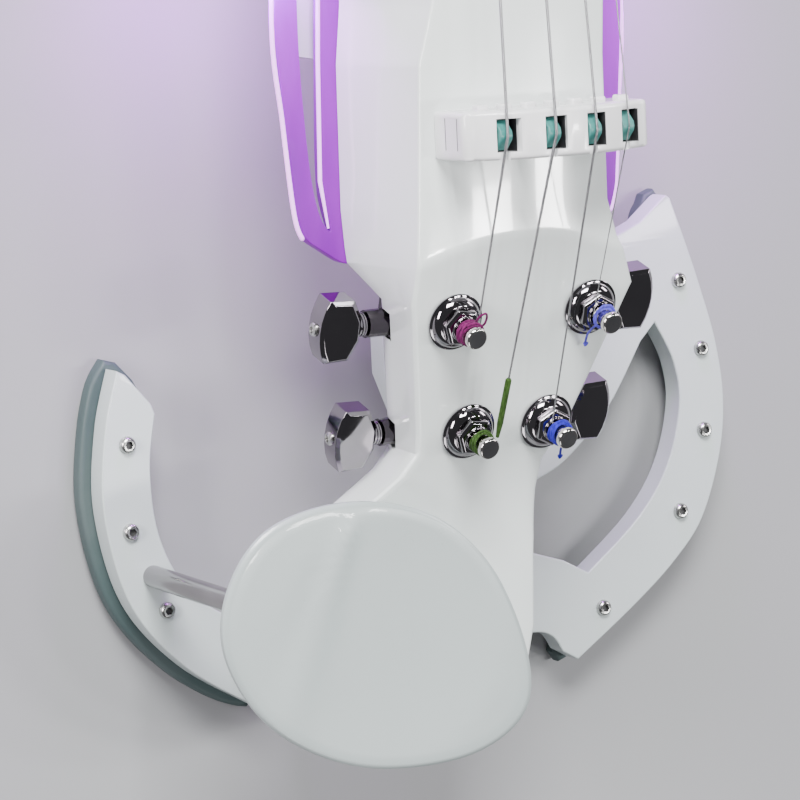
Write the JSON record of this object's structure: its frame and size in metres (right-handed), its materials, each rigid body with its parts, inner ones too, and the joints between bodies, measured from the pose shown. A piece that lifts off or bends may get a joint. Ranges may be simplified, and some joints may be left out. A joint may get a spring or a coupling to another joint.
{
  "type": "headless electric violin",
  "caption": "Headless solid-body electric violin with slotted light wings, sloping tuner deck, chin rest and height-adjustable shoulder arcs.",
  "frame": {"origin": "middle of the underside, on the plane of the shoulder rest pads", "axes": "+Y along the strings towards the nut, +Z out of the front of the body, +X to the thin-string side"},
  "size_m": [0.2064, 0.513, 0.1085],
  "materials": {
    "shell_white": "polished gloss white",
    "back_white": "satin white",
    "neck_lacquer": "gloss white lacquer over maple",
    "board_black": "satin black",
    "nut_black": "satin black",
    "bridge_white": "gloss white",
    "saddle_teal": "satin teal",
    "wing_violet": "frosted violet acrylic, lit from its inner edge",
    "light_strip": "glowing pale violet",
    "chin_satin": "satin white",
    "arc_satin": "satin white",
    "pad_rubber": "matt grey-green",
    "rod_steel": "brushed along its length",
    "screw_steel": "satin",
    "tuner_chrome": "dark polished chrome",
    "string_wire": "fine wound wire",
    "silk_magenta": "wound silk thread",
    "silk_green": "wound silk thread",
    "silk_blue": "wound silk thread",
    "silk_lilac": "wound silk thread",
    "cell_dark": "wrapped cell",
    "circuit_green": "solder mask",
    "control_black": "satin black"
  },
  "bodies": {
    "violin": {"body_shell": "shell_white", "back_cover": "back_white", "cover_screw_tail": "screw_steel", "cover_screw_neck": "screw_steel", "neck": "neck_lacquer", "fingerboard": "board_black", "nut": "nut_black", "string_anchor": "screw_steel", "bridge": "bridge_white", "string_g": "string_wire", "saddle_g": "saddle_teal", "bushing_g": "tuner_chrome", "gear_box_g": "tuner_chrome", "string_d": "string_wire", "saddle_d": "saddle_teal", "bushing_d": "tuner_chrome", "gear_box_d": "tuner_chrome", "string_a": "string_wire", "saddle_a": "saddle_teal", "bushing_a": "tuner_chrome", "gear_box_a": "tuner_chrome", "string_e": "string_wire", "saddle_e": "saddle_teal", "bushing_e": "tuner_chrome", "gear_box_e": "tuner_chrome", "left_wing": "wing_violet", "left_led_strip": "light_strip", "right_wing": "wing_violet", "right_led_strip": "light_strip", "chin_rest": "chin_satin", "battery": "cell_dark", "preamp_board": "circuit_green", "output_jack": "tuner_chrome"},
    "tuner_post_g": {"post_g": "tuner_chrome", "winding_g": "silk_magenta"},
    "tuner_key_g": {"key_g": "tuner_chrome"},
    "tuner_post_d": {"post_d": "tuner_chrome", "winding_d": "silk_green"},
    "tuner_key_d": {"key_d": "tuner_chrome"},
    "tuner_post_a": {"post_a": "tuner_chrome", "winding_a": "silk_blue"},
    "tuner_key_a": {"key_a": "tuner_chrome"},
    "tuner_post_e": {"post_e": "tuner_chrome", "winding_e": "silk_lilac"},
    "tuner_key_e": {"key_e": "tuner_chrome"},
    "left_arc": {"left_arc_plate": "arc_satin", "left_arc_pad": "pad_rubber", "left_arc_screws": "screw_steel", "rod_left_outer": "rod_steel", "rod_left_inner": "rod_steel"},
    "right_arc": {"right_arc_plate": "arc_satin", "right_arc_pad": "pad_rubber", "right_arc_screws": "screw_steel", "rod_right_upper": "rod_steel", "rod_right_lower": "rod_steel"},
    "volume": {"volume_knob": "tuner_chrome"},
    "switch": {"power_switch": "control_black"}
  },
  "joints": [
    {"name": "key_g_spin", "type": "hinge", "parent": "violin", "child": "tuner_key_g", "pos_m": [-0.0276, -0.13919, 0.0587], "axis": [1, 0, 0], "continuous": true},
    {"name": "post_g_spin", "type": "hinge", "parent": "violin", "child": "tuner_post_g", "pos_m": [-0.0276, -0.1384, 0.078], "axis": [0, -0.324, 0.946], "continuous": true},
    {"name": "key_d_spin", "type": "hinge", "parent": "violin", "child": "tuner_key_d", "pos_m": [-0.01905, -0.16979, 0.04822], "axis": [1, 0, 0], "continuous": true},
    {"name": "post_d_spin", "type": "hinge", "parent": "violin", "child": "tuner_post_d", "pos_m": [-0.01905, -0.169, 0.06752], "axis": [0, -0.324, 0.946], "continuous": true},
    {"name": "key_a_spin", "type": "hinge", "parent": "violin", "child": "tuner_key_a", "pos_m": [0.00505, -0.16979, 0.04822], "axis": [1, 0, 0], "continuous": true},
    {"name": "post_a_spin", "type": "hinge", "parent": "violin", "child": "tuner_post_a", "pos_m": [0.00505, -0.169, 0.06752], "axis": [0, -0.324, 0.946], "continuous": true},
    {"name": "key_e_spin", "type": "hinge", "parent": "violin", "child": "tuner_key_e", "pos_m": [0.0136, -0.13919, 0.0587], "axis": [1, 0, 0], "continuous": true},
    {"name": "post_e_spin", "type": "hinge", "parent": "violin", "child": "tuner_post_e", "pos_m": [0.0136, -0.1384, 0.078], "axis": [0, -0.324, 0.946], "continuous": true},
    {"name": "left_arc_height", "type": "slide", "parent": "violin", "child": "left_arc", "axis": [0, 0, 1], "range_m": [-0.004, 0]},
    {"name": "right_arc_height", "type": "slide", "parent": "violin", "child": "right_arc", "axis": [0, 0, 1], "range_m": [-0.006, 0]},
    {"name": "volume_turn", "type": "hinge", "parent": "violin", "child": "volume", "pos_m": [0.028, 0, 0.0656], "axis": [1, 0, 0], "range_deg": [-150, 150]},
    {"name": "switch_slide", "type": "slide", "parent": "violin", "child": "switch", "axis": [0, 1, 0], "range_m": [0, 0.004]}
  ],
  "couplings": [
    {"joint": "post_g_spin", "follows": "key_g_spin", "ratio": 0.066667},
    {"joint": "post_d_spin", "follows": "key_d_spin", "ratio": 0.066667},
    {"joint": "post_a_spin", "follows": "key_a_spin", "ratio": 0.066667},
    {"joint": "post_e_spin", "follows": "key_e_spin", "ratio": 0.066667}
  ]
}
